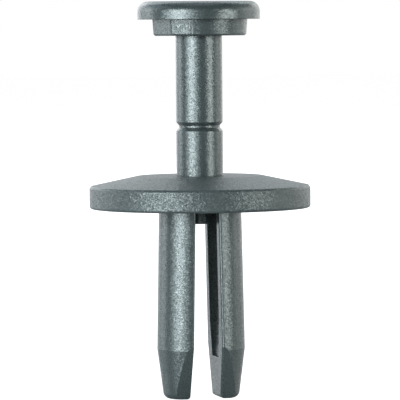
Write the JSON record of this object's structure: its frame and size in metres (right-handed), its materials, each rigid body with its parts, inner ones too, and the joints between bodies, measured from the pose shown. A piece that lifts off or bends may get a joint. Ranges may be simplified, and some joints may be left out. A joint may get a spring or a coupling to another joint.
{
  "type": "plastic push rivet",
  "caption": "Plastic push rivet: a flanged body with a split, splayed shank, and a headed pin that pushes in to spread it.",
  "frame": {"origin": "on the rivet's axis, level with the tips of the legs", "axes": "+Z along the axis towards the head; the slot between the legs runs along Y, and the legs lie at +X and -X"},
  "size_m": [0.02, 0.02, 0.0359],
  "materials": {
    "body_plastic": "moulded teal-grey polyamide, fine grain with a soft sheen",
    "pin_plastic": "moulded teal-grey polyamide, fine grain with a soft sheen"
  },
  "bodies": {
    "body": {"rivet_body": "body_plastic"},
    "pin": {"push_pin": "pin_plastic"}
  },
  "joints": [
    {"name": "pin_push", "type": "slide", "parent": "body", "child": "pin", "axis": [0, 0, -1], "range_m": [0, 0.0126]}
  ]
}
